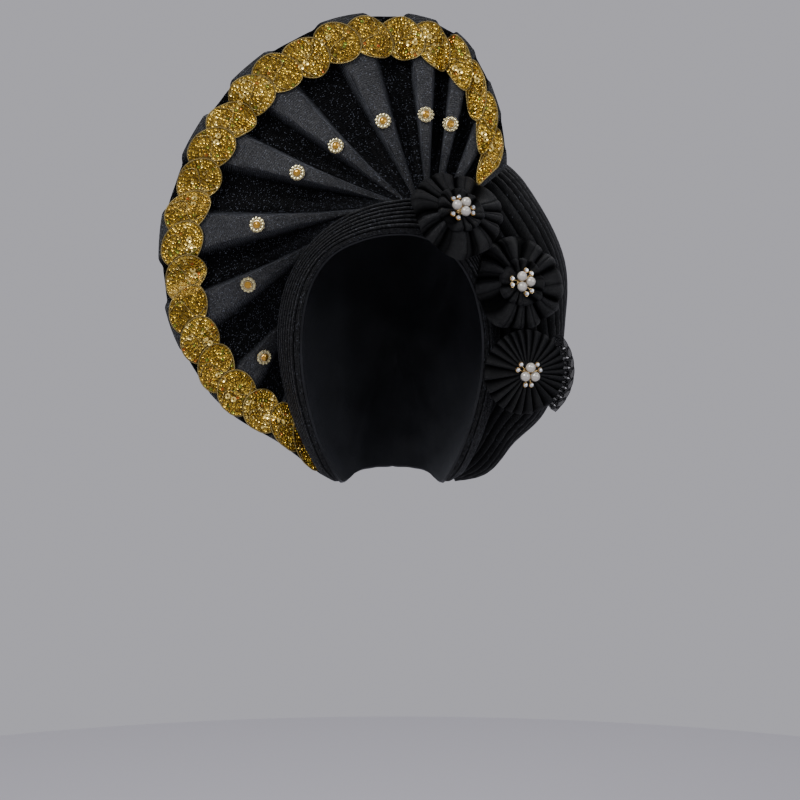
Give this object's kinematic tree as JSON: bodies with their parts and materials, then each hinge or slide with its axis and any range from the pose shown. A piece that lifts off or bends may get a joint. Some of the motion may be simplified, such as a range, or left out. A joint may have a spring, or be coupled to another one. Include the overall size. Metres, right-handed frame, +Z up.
{
  "type": "pleated head tie",
  "caption": "Stiffened cloth head tie with a fitted hood, a pleated face band, a tall pleated fan with a scalloped gold trim, a puffed side wrap and cloth rosettes with pearl brooches.",
  "frame": {"origin": "inside the hood, where the crown of the wearer's head rests; the hood is held up there", "axes": "+X towards the puffed side wrap, which is the viewer's right, +Y from the face opening back through the head, +Z up"},
  "size_m": [0.2979, 0.2004, 0.342],
  "materials": {
    "black_cloth": "ribbed weave with a soft sheen",
    "gold_sequins": "sequins on net with cord outlines",
    "gold_metal": "polished",
    "silver_metal": "polished",
    "pearl_white": "pearl",
    "clear_stone": "cut, foiled back",
    "amber_stone": "cut, foiled back",
    "black_net": "sheer net"
  },
  "bodies": {
    "root": {"hood": "black_cloth", "face_wrap": "black_cloth", "fan": "black_cloth", "side_wrap": "black_cloth", "rosette_top": "black_cloth", "rosette_middle": "black_cloth", "rosette_bottom": "black_cloth", "fan_trim": "gold_sequins", "net_ruffle": "black_net", "brooch_frame_top": "gold_metal", "pearl_top_1": "pearl_white", "pearl_top_2": "pearl_white", "pearl_top_3": "pearl_white", "stone_top_1": "clear_stone", "stone_top_2": "clear_stone", "stone_top_3": "clear_stone", "stone_top_4": "clear_stone", "stone_top_5": "clear_stone", "stone_top_6": "clear_stone", "brooch_frame_middle": "gold_metal", "pearl_middle_1": "pearl_white", "pearl_middle_2": "pearl_white", "pearl_middle_3": "pearl_white", "stone_middle_1": "clear_stone", "stone_middle_2": "clear_stone", "stone_middle_3": "clear_stone", "stone_middle_4": "clear_stone", "stone_middle_5": "clear_stone", "stone_middle_6": "clear_stone", "brooch_frame_bottom": "gold_metal", "pearl_bottom_1": "pearl_white", "pearl_bottom_2": "pearl_white", "pearl_bottom_3": "pearl_white", "stone_bottom_1": "clear_stone", "stone_bottom_2": "clear_stone", "stone_bottom_3": "clear_stone", "stone_bottom_4": "clear_stone", "stone_bottom_5": "clear_stone", "stone_bottom_6": "clear_stone", "stud_1": "silver_metal", "stud_stone_1": "amber_stone", "stud_2": "silver_metal", "stud_stone_2": "amber_stone", "stud_3": "silver_metal", "stud_stone_3": "amber_stone", "stud_4": "silver_metal", "stud_stone_4": "amber_stone", "stud_5": "silver_metal", "stud_stone_5": "amber_stone", "stud_6": "silver_metal", "stud_stone_6": "amber_stone", "stud_7": "silver_metal", "stud_stone_7": "amber_stone", "stud_8": "silver_metal", "stud_stone_8": "amber_stone"}
  },
  "joints": []
}
